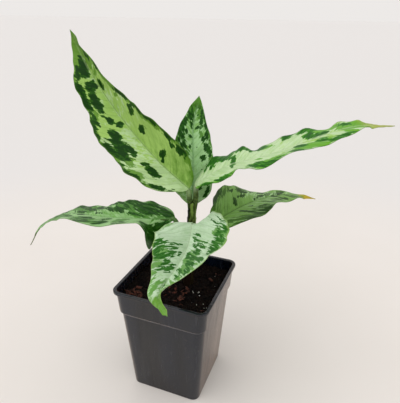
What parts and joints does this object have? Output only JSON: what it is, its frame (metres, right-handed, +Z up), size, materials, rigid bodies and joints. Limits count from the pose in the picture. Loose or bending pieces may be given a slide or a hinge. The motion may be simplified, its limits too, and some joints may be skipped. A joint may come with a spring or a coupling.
{
  "type": "potted chinese evergreen",
  "caption": "Young chinese evergreen with wavy, pointed, variegated leaves on a short stem, standing in potting mix in a square tapered plastic nursery pot.",
  "frame": {"origin": "centre of the pot's flat underside", "axes": "+Z up along the pot's middle axis; the pot's front face looks towards -Y and its right face towards +X; the tall leaf leans towards -X and the long upper right leaf reaches towards +X"},
  "size_m": [0.2741, 0.2059, 0.2845],
  "materials": {
    "pot_plastic": "smooth satin black plastic",
    "potting_mix": "moist dark peat with bark and perlite",
    "stem_green": "satin, smooth green stem",
    "leaf_silver": "satin, pale silver green with dark green blotches",
    "leaf_dark": "satin, dark green with pale streaks"
  },
  "bodies": {
    "root": {"pot": "pot_plastic", "potting_mix": "potting_mix", "stem": "stem_green", "leaf_upper_left": "leaf_silver", "leaf_upright": "leaf_dark", "leaf_upper_right": "leaf_silver", "leaf_lower_right": "leaf_dark", "leaf_lower_left": "leaf_dark", "leaf_front": "leaf_silver"}
  },
  "joints": []
}
